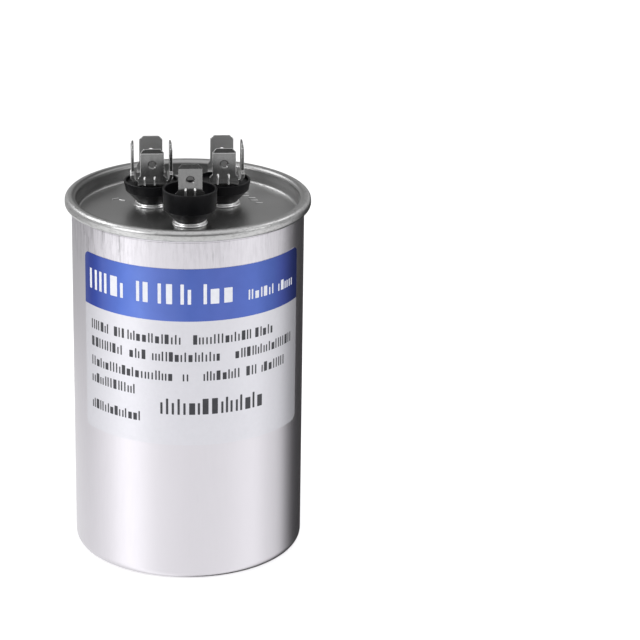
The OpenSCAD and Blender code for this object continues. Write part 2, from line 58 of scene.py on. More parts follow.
cameraLook = {
    "place": (-0.02945, -0.73318, 0.33669),   # in front, a little left of the fan terminal
    "heading": 5.13,                          # degrees from +Y toward +X
    "tilt": 20.37,                            # degrees under the horizon
    "roll": 0.917,
    "lens": 159.93,
    "sensorWidth": 36,
    "clip": (0.05, 20),
}


def placeCamera(look):
    lensData = bpy.data.cameras.new("studioCamera")
    lensData.lens = look["lens"]
    lensData.sensor_width = look["sensorWidth"]
    lensData.clip_start, lensData.clip_end = look["clip"]
    camera = bpy.data.objects.new("studioCamera", lensData)
    aim = (Matrix.Rotation(-math.radians(look["heading"]), 4, "Z")
           @ Matrix.Rotation(math.radians(90 - look["tilt"]), 4, "X")
           @ Matrix.Rotation(math.radians(look["roll"]), 4, "Z"))
    camera.matrix_world = Matrix.Translation(look["place"]) @ aim
    bpy.context.scene.collection.objects.link(camera)
    bpy.context.scene.camera = camera


placeCamera(cameraLook)
print("camera placed")


# node helpers

def addNode(tree, kind, inputs=None, **settings):
    node = tree.nodes.new(kind)
    for name, value in settings.items():
        setattr(node, name, value)
    for name, value in (inputs or {}).items():
        giveInput(tree, node.inputs[name], value)
    return node


def giveInput(tree, socket, value):
    if isinstance(value, bpy.types.NodeSocket):
        tree.links.new(value, socket)
    else:
        socket.default_value = value


def grey(value):
    return (value, value, value, 1)


def shaded(colour, share):
    return tuple(channel * share for channel in colour[:3]) + (1,)


def newMaterial(name):
    material = bpy.data.materials.new(name)
    material.use_nodes = True
    material.node_tree.nodes.clear()
    return material, material.node_tree


def objectAxes(tree):
    coords = addNode(tree, "ShaderNodeTexCoord")
    return addNode(tree, "ShaderNodeSeparateXYZ", {"Vector": coords.outputs["Object"]}).outputs


noiseSpan = (0.3, 0.7)                            # a noise lies mostly between these


def stretchedNoise(tree, scale, stretch=(1, 1, 1), detail=3.0, rough=0.5):
    # noise on object coordinates; a small stretch value draws it out along that axis
    coords = addNode(tree, "ShaderNodeTexCoord")
    mapping = addNode(tree, "ShaderNodeMapping", {"Vector": coords.outputs["Object"], "Scale": stretch})
    noise = addNode(tree, "ShaderNodeTexNoise", {"Vector": mapping.outputs["Vector"], "Scale": scale,
                                                 "Detail": detail, "Roughness": rough})
    return noise.outputs["Fac"]


def noisesOf(tree, values, *names):
    return [stretchedNoise(tree, *values[name]) for name in names]


def remap(tree, value, low, high, outLow, outHigh):
    node = addNode(tree, "ShaderNodeMapRange", {"Value": value, "From Min": low, "From Max": high,
                                                "To Min": outLow, "To Max": outHigh})
    return node.outputs["Result"]


def maths(tree, operation, a, b=0.0):
    return addNode(tree, "ShaderNodeMath", {0: a, 1: b}, operation=operation).outputs["Value"]


def mixColours(tree, share, first, second):
    node = addNode(tree, "ShaderNodeMix", data_type="RGBA")
    for socket, value in ((0, share), (6, first), (7, second)):   # of its many sockets, those for colours
        giveInput(tree, node.inputs[socket], value)
    return node.outputs[2]


def colourRamp(tree, value, stops):
    # each stop: its position from 0 to 1, and its colour
    ramp = addNode(tree, "ShaderNodeValToRGB", {"Fac": value})
    elements = ramp.color_ramp.elements
    while len(elements) < len(stops):
        elements.new(0.5)
    for element, (position, colour) in zip(elements, stops):
        element.position, element.color = position, colour
    return ramp.outputs["Color"]


def addBumps(tree, *layers):
    # each layer: a height and its depth, the broadest first
    normal = None
    for height, depth in layers:
        inputs = {"Height": height, "Distance": depth, "Strength": 1.0}
        if normal is not None:
            inputs["Normal"] = normal
        normal = addNode(tree, "ShaderNodeBump", inputs).outputs["Normal"]
    return normal


def finishMaterial(tree, colour, roughness, normal=None, **fixed):
    inputs = {"Base Color": colour, "Roughness": roughness}
    if normal is not None:
        inputs["Normal"] = normal
    sockets = {"metallic": "Metallic", "coat": "Coat Weight", "coatRough": "Coat Roughness",
               "specular": "Specular IOR Level", "glow": "Emission Strength"}
    inputs.update({sockets[name]: value for name, value in fixed.items()})
    shader = addNode(tree, "ShaderNodeBsdfPrincipled", inputs)
    addNode(tree, "ShaderNodeOutputMaterial", {"Surface": shader.outputs["BSDF"]})


# studio: white floor and world, soft lights, and cards that only reflections see

studio = {
    "floorSize": 8.0,
    "floorTone": 0.90,
    "floorSpeckle": 6,           # scale of its speckle, and the share of the tone left in it
    "speckleTone": 0.99,
    "floorRough": 0.9,
    "floorGlow": 0.50,
    "worldTone": 0.50,
    "lightsAim": 0.06,           # height that the lights look at
    "lights": {
        # name: azimuth from the front, elevation, distance, width, height, watts
        "leftBox": (-60, 30, 0.70, 0.30, 0.30, 1.1),
        "rightBox": (66, 28, 0.80, 0.16, 0.30, 0.5),
        "topBox": (10, 84, 1.60, 2.60, 2.60, 9.0),
    },
    "cardsAim": 0.09,            # height that the cards look at
    "cards": {
        # name: azimuth, elevation, distance, width, height, tone
        "backCard": (180, 24, 0.70, 0.50, 0.36, 0.34),
        "frontCard": (0, 16, 1.10, 1.60, 0.60, 0.12),
        "leftCard": (-125, 43, 1.00, 0.70, 0.40, 3.30),
        "rightCard": (120, 43, 1.00, 0.40, 0.34, 2.20),
    },
    # the ring of tones that walls mirror in place of the floor: azimuth from the front, tone
    "ringTones": [(-180, 1.06), (-120, 1.02), (-90, 1.16), (-74, 1.52), (-62, 1.72), (-50, 1.48),
                  (-34, 1.20), (0, 1.10), (35, 1.12), (54, 1.24), (68, 1.34), (84, 0.98), (100, 0.95),
                  (112, 0.30), (124, 0.03), (165, 0.03), (180, 0.60)],
    "ringRadius": 1.00,
    "ringFoot": -1.20,
    "ringTop": 0.06,
    "ringSteps": 96,
    # the ring grows darker behind the left: azimuths and heights between which it does, and the share kept
    "shadeAzimuth": (-98, -110),
    "shadeHeight": (-0.35, -0.29),
    "shadeKeeps": 0.50,
}


def standAt(azimuth, elevation, distance, aimHeight):
    a, e = math.radians(azimuth), math.radians(elevation)
    out = Vector((math.sin(a) * math.cos(e), -math.cos(a) * math.cos(e), math.sin(e)))
    turn = (-out).to_track_quat("-Z", "Y").to_matrix().to_4x4()
    return Matrix.Translation(Vector((0, 0, aimHeight)) + out * distance) @ turn


def paperMaterial(values):
    material, tree = newMaterial("floorPaper")
    tone = values["floorTone"]
    speckle = remap(tree, stretchedNoise(tree, values["floorSpeckle"]), *noiseSpan,
                    tone * values["speckleTone"], tone)
    colour = addNode(tree, "ShaderNodeCombineColor", {"Red": speckle, "Green": speckle, "Blue": speckle})
    finishMaterial(tree, colour.outputs["Color"], values["floorRough"], specular=0.0,
                   glow=values["floorGlow"])
    return material


def glowingMaterial(material, tree, colour, strength):
    light = addNode(tree, "ShaderNodeEmission", {"Color": colour, "Strength": strength})
    addNode(tree, "ShaderNodeOutputMaterial", {"Surface": light.outputs["Emission"]})
    return material


def cardMaterial(name, tone):
    material, tree = newMaterial(name + "Tone")
    return glowingMaterial(material, tree, grey(1), tone)


def ringMaterial(values):
    # a glowing card whose tone goes round with the azimuth
    material, tree = newMaterial("toneRing")
    axes = objectAxes(tree)
    azimuth = maths(tree, "ARCTAN2", axes["X"], maths(tree, "MULTIPLY", axes["Y"], -1.0))
    brightest = max(tone for _, tone in values["ringTones"])
    stops = [((angle + 180) / 360, grey(tone / brightest)) for angle, tone in values["ringTones"]]
    colour = colourRamp(tree, remap(tree, azimuth, -math.pi, math.pi, 0, 1), stops)
    first, last = (math.radians(angle) for angle in values["shadeAzimuth"])
    shade = maths(tree, "MULTIPLY", remap(tree, azimuth, first, last, 0, 1),
                  remap(tree, axes["Z"], *values["shadeHeight"], 0, 1))
    strength = remap(tree, shade, 0, 1, brightest, brightest * values["shadeKeeps"])
    return glowingMaterial(material, tree, colour, strength)


def standCard(name, corners, faces, place, material):
    mesh = bpy.data.meshes.new(name)
    mesh.from_pydata(corners, [], faces)
    mesh.materials.append(material)
    card = bpy.data.objects.new(name, mesh)
    card.matrix_world = place
    bpy.context.scene.collection.objects.link(card)
    return card


def flatCard(name, width, height, place, material):
    x, y = width / 2, height / 2
    corners = [(-x, -y, 0), (x, -y, 0), (x, y, 0), (-x, y, 0)]
    return standCard(name, corners, [(0, 1, 2, 3)], place, material)


def toneRing(values):
    radius, steps = values["ringRadius"], values["ringSteps"]
    turns = [math.tau * step / steps for step in range(steps)]
    corners = [(radius * math.cos(turn), radius * math.sin(turn), z)
               for z in (values["ringFoot"], values["ringTop"]) for turn in turns]
    faces = [(i, (i + 1) % steps, (i + 1) % steps + steps, i + steps) for i in range(steps)]
    faces.append(tuple(range(steps)))             # closed below, so that a rounded foot mirrors it too
    return standCard("toneRing", corners, faces, Matrix.Identity(4), ringMaterial(values))


def onlyMirrored(card):
    card.visible_camera = card.visible_diffuse = card.visible_shadow = False


def hangLight(name, azimuth, elevation, distance, width, height, watts, aimHeight):
    light = bpy.data.lights.new(name, "AREA")
    light.shape = "RECTANGLE"
    light.size, light.size_y, light.energy = width, height, watts
    lamp = bpy.data.objects.new(name, light)
    lamp.matrix_world = standAt(azimuth, elevation, distance, aimHeight)
    bpy.context.scene.collection.objects.link(lamp)


def setUpStudio(values):
    bpy.context.scene.view_settings.view_transform = "Standard"
    size = values["floorSize"]
    floor = flatCard("floor", size, size, Matrix.Identity(4), paperMaterial(values))
    floor.visible_glossy = False                  # walls mirror the ring of tones in its place
    onlyMirrored(toneRing(values))
    for name, (azimuth, elevation, distance, width, height, tone) in values["cards"].items():
        place = standAt(azimuth, elevation, distance, values["cardsAim"])
        onlyMirrored(flatCard(name, width, height, place, cardMaterial(name, tone)))
    for name, light in values["lights"].items():
        hangLight(name, *light, values["lightsAim"])
    world = bpy.data.worlds.new("studioWorld")
    world.use_nodes = True
    world.node_tree.nodes["Background"].inputs["Color"].default_value = grey(values["worldTone"])
    bpy.context.scene.world = world


setUpStudio(studio)
print("studio set up")


# finishes; each noise is its scale, its stretch along X, Y and Z, its detail, and its roughness if not 0.5;
# a change that a noise makes is given as the noise's low and high, and what these two make of it

canFinish = {
    "tone": (0.68, 0.66, 0.70, 1),
    "rough": 0.31,
    "roughSpread": (-0.015, 0.015),
    "scuffedRough": 0.16,                         # added where it is scuffed
    "drawZone": (83 * mm, 95 * mm, 0.06, 1),      # draw marks grow from a share to all between these heights
    "markedSide": (-8 * mm, -22 * mm, 0, 1),      # and they gather toward the left
    "patchiness": (0.42, 0.62, 0.15, 0.5),
    "patches": (55, (1, 1, 0.25), 2),
    "streaks": (1050, (1, 1, 0.13), 6, 0.72),
    "scores": (1500, (1, 1, 0.07), 4, 0.7),
    "scuffs": (240, (1, 1, 0.45), 6, 0.7),
    "grain": (9000, (1, 1, 0.5), 2),
    "waves": (38, (1, 1, 0.25), 1),
    "streakSpan": (0.44, 0.66),                   # where on its noise a mark begins and is whole
    "scoreSpan": (0.60, 0.70),
    "scuffSpan": (0.50, 0.72),
    "streakTone": 0.62,                           # share of the tone left in a streak, and in a score
    "scoreTone": 0.30,
    "markShare": 0.9,
    "depths": {"waves": 0.20 * mm, "streaks": 0.04 * mm, "scores": 0.01 * mm, "grain": 0.002 * mm},
}


def makeCanAluminium(values):
    material, tree = newMaterial("canAluminium")
    axes = objectAxes(tree)
    streaks, scores, scuffs, grain, waves = noisesOf(tree, values, "streaks", "scores", "scuffs", "grain",
                                                     "waves")
    patches = remap(tree, stretchedNoise(tree, *values["patches"]), *values["patchiness"])
    patches = maths(tree, "MAXIMUM", patches, remap(tree, axes["X"], *values["markedSide"]))
    here = maths(tree, "MULTIPLY", remap(tree, axes["Z"], *values["drawZone"]), patches)
    streaked, scored, scuffed = (
        maths(tree, "MULTIPLY", remap(tree, noise, *values[span], 0, 1), here)
        for noise, span in ((streaks, "streakSpan"), (scores, "scoreSpan"), (scuffs, "scuffSpan")))
    tone, share, depths = values["tone"], values["markShare"], values["depths"]
    colour = mixColours(tree, remap(tree, streaked, 0, 1, 0, share), tone,
                        shaded(tone, values["streakTone"]))
    colour = mixColours(tree, remap(tree, scored, 0, 1, 0, share), colour,
                        shaded(tone, values["scoreTone"]))
    rough = values["rough"]
    roughness = maths(tree, "ADD", remap(tree, scuffed, 0, 1, rough, rough + values["scuffedRough"]),
                      remap(tree, streaks, *noiseSpan, *values["roughSpread"]))
    normal = addBumps(tree, (waves, depths["waves"]),
                      (maths(tree, "MULTIPLY", streaks, here), depths["streaks"]),
                      (maths(tree, "MULTIPLY", scores, here), depths["scores"]), (grain, depths["grain"]))
    finishMaterial(tree, colour, roughness, normal, metallic=1.0)
    return material


lidFinish = {
    "tone": grey(0.44),
    "rough": 0.315,
    "cloudRough": (0.2, 0.8, -0.015, 0.03),
    "scratchRough": (0.5, 0.8, 0, 0.05),
    "mottleTone": 0.90,
    "cloudTint": (0.35, 0.7, 0, 0.6),             # how much of the mottle comes from cloud, and from grain
    "grainTint": 0.4,
    "floorTop": 95.98 * mm,                       # from this height up it is a boss, or the pan's wall
    "floorBlend": 0.15 * mm,
    "bossReach": 22 * mm,                         # bosses lie nearer the axis than this, the wall farther
    "bossBlend": 0.5 * mm,
    # a brighter tone on the bosses: painted highlight
    "bossHighlightTone": grey(1.0),
    "bossRough": 0.30,
    # the pan's wall: darker than the floor and darkest on the left, as painted shade
    "wallShadedTone": grey(0.37),
    "wallPaintedShade": grey(0.15),
    "wallShadeSpan": (-12 * mm, -24 * mm),            # places across between which the wall's painted shade darkens
    "seamTone": grey(0.54),
    "seamRough": 0.315,
    "seamFrom": 31.2 * mm,
    "seamBlend": 0.6 * mm,
    "seamWear": (0.50, 0.66, 0, 0.5),
    "wornTone": 0.45,
    "rolled": (1500, (0.05, 1, 1), 4, 0.6),       # the sheet's rolling direction
    "cloud": (110, (1, 1, 1), 1, 0.4),
    "grain": (5200, (1, 1, 1), 1, 0.5),
    "scratches": (900, (1, 1, 0.3), 7, 0.7),
    "scuffs": (2600, (0.3, 0.3, 1), 4, 0.65),     # marks of the seaming rolls, drawn out round the seam
    "depths": {"rolled": 0.0012 * mm, "cloud": 0.010 * mm, "scratches": 0.0004 * mm, "scuffs": 0.012 * mm},
}


def reachFromAxis(tree, axes):
    squares = [maths(tree, "MULTIPLY", axes[name], axes[name]) for name in ("X", "Y")]
    return maths(tree, "SQRT", maths(tree, "ADD", *squares))


def makeLidTin(values):
    material, tree = newMaterial("lidTinplate")
    axes = objectAxes(tree)
    reach = reachFromAxis(tree, axes)
    rolled, cloud, grain, scratches, scuffs = noisesOf(tree, values, "rolled", "cloud", "grain", "scratches",
                                                       "scuffs")
    raised = remap(tree, axes["Z"], values["floorTop"], values["floorTop"] + values["floorBlend"], 0, 1)
    bossEnds = (values["bossReach"], values["bossReach"] + values["bossBlend"])
    boss = maths(tree, "MULTIPLY", raised, remap(tree, reach, *bossEnds, 1, 0))
    wall = maths(tree, "MULTIPLY", raised, remap(tree, reach, *bossEnds, 0, 1))
    seam = remap(tree, reach, values["seamFrom"], values["seamFrom"] + values["seamBlend"], 0, 1)
    mottle = maths(tree, "ADD", remap(tree, cloud, *values["cloudTint"]),
                   remap(tree, grain, *noiseSpan, 0, values["grainTint"]))
    # painted shade on the pan's wall, deeper toward the left
    leftShade = remap(tree, axes["X"], *values["wallShadeSpan"], 0, 1)
    worn = maths(tree, "MULTIPLY", remap(tree, scuffs, *values["seamWear"]), seam)
    colour = mixColours(tree, mottle, values["tone"], shaded(values["tone"], values["mottleTone"]))
    wallShadedTone = mixColours(tree, leftShade, values["wallShadedTone"], values["wallPaintedShade"])
    colour = mixColours(tree, wall, colour, wallShadedTone)
    # the bosses' painted highlight
    colour = mixColours(tree, boss, colour, values["bossHighlightTone"])
    colour = mixColours(tree, seam, colour, values["seamTone"])
    colour = mixColours(tree, worn, colour, shaded(values["seamTone"], values["wornTone"]))
    smooth = maths(tree, "ADD", remap(tree, boss, 0, 1, values["rough"], values["bossRough"]),
                   remap(tree, seam, 0, 1, 0, values["seamRough"] - values["rough"]))
    clouded = maths(tree, "ADD", smooth, remap(tree, cloud, *values["cloudRough"]))
    roughness = maths(tree, "ADD", clouded, remap(tree, scratches, *values["scratchRough"]))
    depths = values["depths"]
    normal = addBumps(tree, (rolled, depths["rolled"]), (cloud, depths["cloud"]),
                      (scratches, depths["scratches"]), (worn, depths["scuffs"]))
    finishMaterial(tree, colour, roughness, normal, metallic=1.0)
    return material


terminalFinish = {
    "tone": grey(0.235),                          # faces: a dark tone, painted shade
    "rough": 0.14,
    "edge": grey(1.0),                            # rounded edges and ribs: painted highlight
    "inner": grey(0.46),                          # faces inside a U strap: duller, and a lighter tone as painted light
    "innerRough": 0.50,
    "metallic": 0.84,
    "flowTint": (0.35, 0.7, 0, 0.7),
    "flowTone": 0.85,
    "flowRough": (-0.03, 0.05),
    "flow": (1400, (1, 1, 0.25), 4, 0.6),
    "brushed": (6000, (1, 1, 0.06), 3, 0.6),
    "depths": {"flow": 0.004 * mm, "brushed": 0.0008 * mm},
}


def makeTerminalTin(values):
    material, tree = newMaterial("terminalTin")
    flow, brushed = noisesOf(tree, values, "flow", "brushed")
    # rounded edges and ribs are painted white as a highlight; faces inside a strap are painted lighter
    edge = addNode(tree, "ShaderNodeAttribute", attribute_name="edgeShine").outputs["Fac"]
    inner = addNode(tree, "ShaderNodeAttribute", attribute_name="innerFace").outputs["Fac"]
    colour = mixColours(tree, remap(tree, flow, *values["flowTint"]), values["tone"],
                        shaded(values["tone"], values["flowTone"]))
    # faces inside a strap take a lighter tone: painted light
    colour = mixColours(tree, inner, colour, values["inner"])
    colour = mixColours(tree, edge, colour, values["edge"])
    roughness = maths(tree, "ADD", remap(tree, flow, *noiseSpan, *values["flowRough"]),
                      remap(tree, inner, 0, 1, values["rough"], values["innerRough"]))
    normal = addBumps(tree, (flow, values["depths"]["flow"]), (brushed, values["depths"]["brushed"]))
    finishMaterial(tree, colour, roughness, normal, metallic=values["metallic"])
    return material


cupFinish = {
    "tone": (0.003, 0.003, 0.004, 1),
    "flowTint": (0.4, 0.7, 0, 0.6),
    "flowTone": 2.2,
    "rough": 0.40,
    "flowRough": 0.07,
    "pebbleRough": 0.03,
    "specular": 0.26,
    "pebble": (5200, (1, 1, 1), 3, 0.6),
    "pebbleDepth": 0.012 * mm,
    "flow": (300, (1, 1, 0.4), 4, 0.6),
}


def makeCupNylon(values):
    material, tree = newMaterial("cupNylon")
    pebble, flow = noisesOf(tree, values, "pebble", "flow")
    colour = mixColours(tree, remap(tree, flow, *values["flowTint"]), values["tone"],
                        shaded(values["tone"], values["flowTone"]))
    rough, flowRough, pebbleRough = (values[name] for name in ("rough", "flowRough", "pebbleRough"))
    roughness = maths(tree, "ADD", remap(tree, flow, *noiseSpan, rough - flowRough, rough + flowRough),
                      remap(tree, pebble, *noiseSpan, -pebbleRough, pebbleRough))
    finishMaterial(tree, colour, roughness, addBumps(tree, (pebble, values["pebbleDepth"])),
                   specular=values["specular"])
    return material


bandFinish = {
    # ink colours along the band, lighter left of the middle and darker at its ends as painted highlight and
    # shade: distance to the right of the label's middle in mm, red, green, blue
    "inkAndPaintedLight": [(-28.5, 0.075, 0.115, 0.43), (-26.6, 0.030, 0.062, 0.38), (-25.3, 0.036, 0.075, 0.40),
             (-23.6, 0.076, 0.124, 0.46), (-19.0, 0.092, 0.160, 0.52), (-14.0, 0.130, 0.205, 0.58),
             (-10.0, 0.125, 0.190, 0.56), (-5.0, 0.110, 0.170, 0.52), (-1.0, 0.090, 0.148, 0.49),
             (8.0, 0.100, 0.152, 0.49), (17.0, 0.092, 0.150, 0.48), (21.5, 0.072, 0.124, 0.43),
             (24.5, 0.056, 0.088, 0.39), (28.5, 0.040, 0.070, 0.36)],
    "reach": 31.6,                                # distance from the middle to the ramp's ends, in mm
    "darkerInk": 0.80,                                # value of the darker ink that the mottle and the height mix in
    "mottled": (0.35, 0.7, 0, 0.10),
    "fade": (75 * mm, 90 * mm, 0, 0.22),          # darker toward the top
    "rough": (0.30, 0.38),
    "metallic": 0.92,
    "coat": 0.05,
    "coatRough": 0.2,
    "mottle": (260, (1, 1, 1), 4, 0.6),
    "ripple": (90, (1, 1, 0.6), 2),
    "rippleDepth": 0.02 * mm,
}


def makeBandInk(values):
    material, tree = newMaterial("labelBlueInk")
    axes = objectAxes(tree)
    mottle, ripple = noisesOf(tree, values, "mottle", "ripple")
    reach = values["reach"]
    stops = [((across + reach) / (2 * reach), (*ink, 1)) for across, *ink in values["inkAndPaintedLight"]]
    # the ramp holds the blue ink with a painted highlight and painted shade across the band
    ink = colourRamp(tree, remap(tree, axes["X"], -reach * mm, reach * mm, 0, 1), stops)
    deeper = maths(tree, "ADD", remap(tree, mottle, *values["mottled"]),
                   remap(tree, axes["Z"], *values["fade"]))
    darkerInk = addNode(tree, "ShaderNodeHueSaturation", {"Color": ink, "Value": values["darkerInk"]})
    colour = mixColours(tree, deeper, ink, darkerInk.outputs["Color"])
    roughness = remap(tree, mottle, *noiseSpan, *values["rough"])
    finishMaterial(tree, colour, roughness, addBumps(tree, (ripple, values["rippleDepth"])),
                   metallic=values["metallic"], coat=values["coat"], coatRough=values["coatRough"])
    return material


filmFinish = {
    "tone": (0.685, 0.68, 0.725, 1),
    "mottleTone": 0.98,
    "mottled": (0.35, 0.7, 0, 1),
    "rough": (0.32, 0.36),
    "metallic": 0.68,
    "coat": 0.12,
    "coatRough": 0.25,
    "mottle": (900, (1, 1, 1), 3, 0.5),
    "ripple": (90, (1, 1, 0.6), 2),
    "rippleDepth": 0.02 * mm,
}


def makeLabelFilm(values):
    material, tree = newMaterial("labelFilm")
    mottle, ripple = noisesOf(tree, values, "mottle", "ripple")
    colour = mixColours(tree, remap(tree, mottle, *values["mottled"]), values["tone"],
                        shaded(values["tone"], values["mottleTone"]))
    roughness = remap(tree, mottle, *noiseSpan, *values["rough"])
    finishMaterial(tree, colour, roughness, addBumps(tree, (ripple, values["rippleDepth"])),
                   metallic=values["metallic"], coat=values["coat"], coatRough=values["coatRough"])
    return material


plainFinishes = {
    "labelWhiteInk": {"tone": (0.83, 0.84, 0.90, 1), "rough": 0.38, "scale": 600, "change": 0.94,
                      "relief": 0.004 * mm},
    "labelDarkInk": {"tone": (0.035, 0.036, 0.045, 1), "rough": 0.42, "scale": 600, "relief": 0.004 * mm},
    "rivetSteel": {"tone": grey(0.60), "rough": 0.30, "scale": 1800, "metallic": 1.0},
    "sealRubber": {"tone": (0.055, 0.055, 0.060, 1), "rough": 0.62, "scale": 2400, "relief": 0.03 * mm},
    "fibreBoard": {"tone": (0.33, 0.15, 0.06, 1), "rough": 0.66, "scale": 900, "stretch": (0.2, 1, 1),
                   "change": 0.7, "relief": 0.02 * mm},
    "leadTin": {"tone": (0.62, 0.60, 0.57, 1), "rough": 0.32, "scale": 2600, "metallic": 1.0},
    "insulatorPlastic": {"tone": (0.62, 0.60, 0.54, 1), "rough": 0.48, "scale": 1500, "change": 0.9},
    "windingFilm": {"tone": (0.60, 0.60, 0.63, 1), "rough": 0.26, "scale": 4000, "stretch": (1, 1, 0.01),
                    "change": 0.75, "relief": 0.02 * mm, "metallic": 0.8},
    "zincSpray": {"tone": (0.38, 0.38, 0.39, 1), "rough": 0.68, "scale": 5200, "change": 0.6,
                  "relief": 0.08 * mm, "metallic": 0.7},
    "wrapFilm": {"tone": (0.55, 0.42, 0.20, 1), "rough": 0.30, "scale": 700, "stretch": (1, 1, 0.3),
                 "change": 0.85, "coat": 0.4, "coatRough": 0.2},
}


plainGrain = {"detail": 4, "rough": 0.6, "tint": (0.35, 0.65, 0, 1), "roughSpread": 0.06}


def makeSpeckled(name, tone, rough, scale, stretch=(1, 1, 1), change=0.8, relief=0.01 * mm, **fixed):
    # a plain finish with its own grain, for inks and for the pieces inside
    material, tree = newMaterial(name)
    grain = stretchedNoise(tree, scale, stretch, plainGrain["detail"], plainGrain["rough"])
    colour = mixColours(tree, remap(tree, grain, *plainGrain["tint"]), tone, shaded(tone, change))
    spread = plainGrain["roughSpread"]
    roughness = remap(tree, grain, *noiseSpan, rough - spread, rough + spread)
    finishMaterial(tree, colour, roughness, addBumps(tree, (grain, relief)), **fixed)
    return material


canAluminium = makeCanAluminium(canFinish)
lidTinplate = makeLidTin(lidFinish)
terminalTin = makeTerminalTin(terminalFinish)
cupNylon = makeCupNylon(cupFinish)
labelBlueInk = makeBandInk(bandFinish)
labelFilm = makeLabelFilm(filmFinish)
plain = {name: makeSpeckled(name, **look) for name, look in plainFinishes.items()}
print("finishes made")

finishOfNode = {
    "can": canAluminium, "lid": lidTinplate, "label": labelFilm, "label_band": labelBlueInk,
    "seam_seal": plain["sealRubber"], "interrupter_disc": plain["fibreBoard"],
    "lead_sleeve": plain["insulatorPlastic"], "top_spacer": plain["insulatorPlastic"],
    "film_winding": plain["windingFilm"], "core_tube": plain["insulatorPlastic"],
    "winding_wrap": plain["wrapFilm"], "bottom_insulator": plain["insulatorPlastic"],
}
finishAtTerminal = {
    "rivet": plain["rivetSteel"], "gasket": plain["sealRubber"], "bushing": plain["insulatorPlastic"],
    "lug": terminalTin, "lead": plain["leadTin"], "spray": plain["zincSpray"],
}
for terminal in ("common", "compressor", "fan"):
    for kind, material in finishAtTerminal.items():
        finishOfNode[f"{terminal}_{kind}"] = material
for nodeName, material in finishOfNode.items():
    for materialSlot in nodes[nodeName].material_slots:
        materialSlot.link = "OBJECT"
        materialSlot.material = material
print("finishes given to the carried parts")


# dressed parts: a welded copy with rounded edges

cupEdges = {
    "nodes": ("common_cup", "compressor_cup", "fan_cup"),
    "radius": 0.16 * mm, "steps": 3, "finish": cupNylon, "slot": "terminal_insulator",
}
strapEdges = {
    "nodes": ("common_strap", "common_cross_strap", "compressor_strap", "compressor_side_tab", "fan_tab"),
    "radius": 0.285 * mm, "steps": 3, "finish": terminalTin, "slot": "terminal_metal",
}
edgeRules = {
    "weld": 0.004 * mm,
    "flatAngle": 0.8,                             # degrees under which neighbouring faces become one
    "sharpAngle": 25,                             # degrees between faces from which an edge is rounded
    "keptSharp": (107.75 * mm, 110.25 * mm),      # between these heights lie only the detent holes' rims
    "tipsFrom": 111.9 * mm,                       # from here up it is a blade's tip, with its own such angle
    "tipAngle": 10,
    "looksIn": 0.6,                               # least cosine between a face's normal and the way inward
    "heartRoom": 0.3 * mm,                        # faces nearer the upright line than this don't count
}


def middleOf(nodeName):
    low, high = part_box(nodeName)
    return ((low[0] + high[0]) / 2, (low[1] + high[1]) / 2)


heartOfStrap = {                                  # the upright line that a strap's blades stand round
    "common_strap": middleOf("common_cup"), "common_cross_strap": middleOf("common_cup"),
    "compressor_strap": middleOf("compressor_cup"), "compressor_side_tab": middleOf("compressor_cup"),
}


def applyModifiers(piece):
    # the evaluated mesh takes the place of the modifiers
    graph = bpy.context.evaluated_depsgraph_get()
    finished = bpy.data.meshes.new_from_object(piece.evaluated_get(graph))
    piece.modifiers.clear()
    piece.data = finished


def weighEdges(mesh, rules):
    # edges to round get a weight; the rims of the detent holes stay crisp
    weight = mesh.edges.layers.float.new("bevel_weight_edge")
    low, high = rules["keptSharp"]
    for edge in mesh.edges:
        atTip = all(corner.co.z > rules["tipsFrom"] for corner in edge.verts)
        least = math.radians(rules["tipAngle"] if atTip else rules["sharpAngle"])
        if len(edge.link_faces) != 2 or edge.calc_face_angle(0) < least:
            continue
        if all(low < corner.co.z < high for corner in edge.verts):
            edge.smooth = False
        else:
            edge[weight] = 1.0


def innerShares(mesh, heart, rules):
    # 1 for a face that looks at the upright line through the heart of its strap
    if heart is None:
        return [0.0] * len(mesh.polygons)
    shares = []
    for face in mesh.polygons:
        toward = Vector((heart[0] - face.center.x, heart[1] - face.center.y, 0))
        looksIn = toward.normalized().dot(face.normal) > rules["looksIn"]
        shares.append(1.0 if looksIn and toward.length > rules["heartRoom"] else 0.0)
    return shares


def copyNode(nodeName):
    piece = nodes[nodeName].copy()
    piece.data = nodes[nodeName].data.copy()
    piece.name = nodeName + "_dressed"
    for key in list(piece.keys()):
        del piece[key]
    piece.parent = None
    bpy.context.scene.collection.objects.link(piece)
    return piece


def weldMesh(piece, rules):
    # the loose triangles become one mesh of smooth faces
    mesh = bmesh.new()
    mesh.from_mesh(piece.data)
    bmesh.ops.remove_doubles(mesh, verts=mesh.verts, dist=rules["weld"])
    bmesh.ops.dissolve_limit(mesh, angle_limit=math.radians(rules["flatAngle"]), verts=mesh.verts,
                             edges=mesh.edges)
    for face in mesh.faces:
        face.smooth = True
    weighEdges(mesh, rules)
    mesh.to_mesh(piece.data)
    mesh.free()
    if piece.data.attributes.get("custom_normal"):
        piece.data.attributes.remove(piece.data.attributes["custom_normal"])


def roundEdges(piece, edges):
    bevel = piece.modifiers.new("roundedEdges", "BEVEL")
    bevel.width, bevel.segments = edges["radius"], edges["steps"]
    bevel.limit_method = "WEIGHT"
    bevel.use_clamp_overlap = True
    bevel.material = 1                            # the rounded edges are told apart by a second slot
    flats = piece.modifiers.new("flatFaces", "WEIGHTED_NORMAL")
    flats.keep_sharp = True
    piece.data.materials.clear()
    piece.data.materials.append(edges["finish"])
    piece.data.materials.append(edges["finish"])
    applyModifiers(piece)


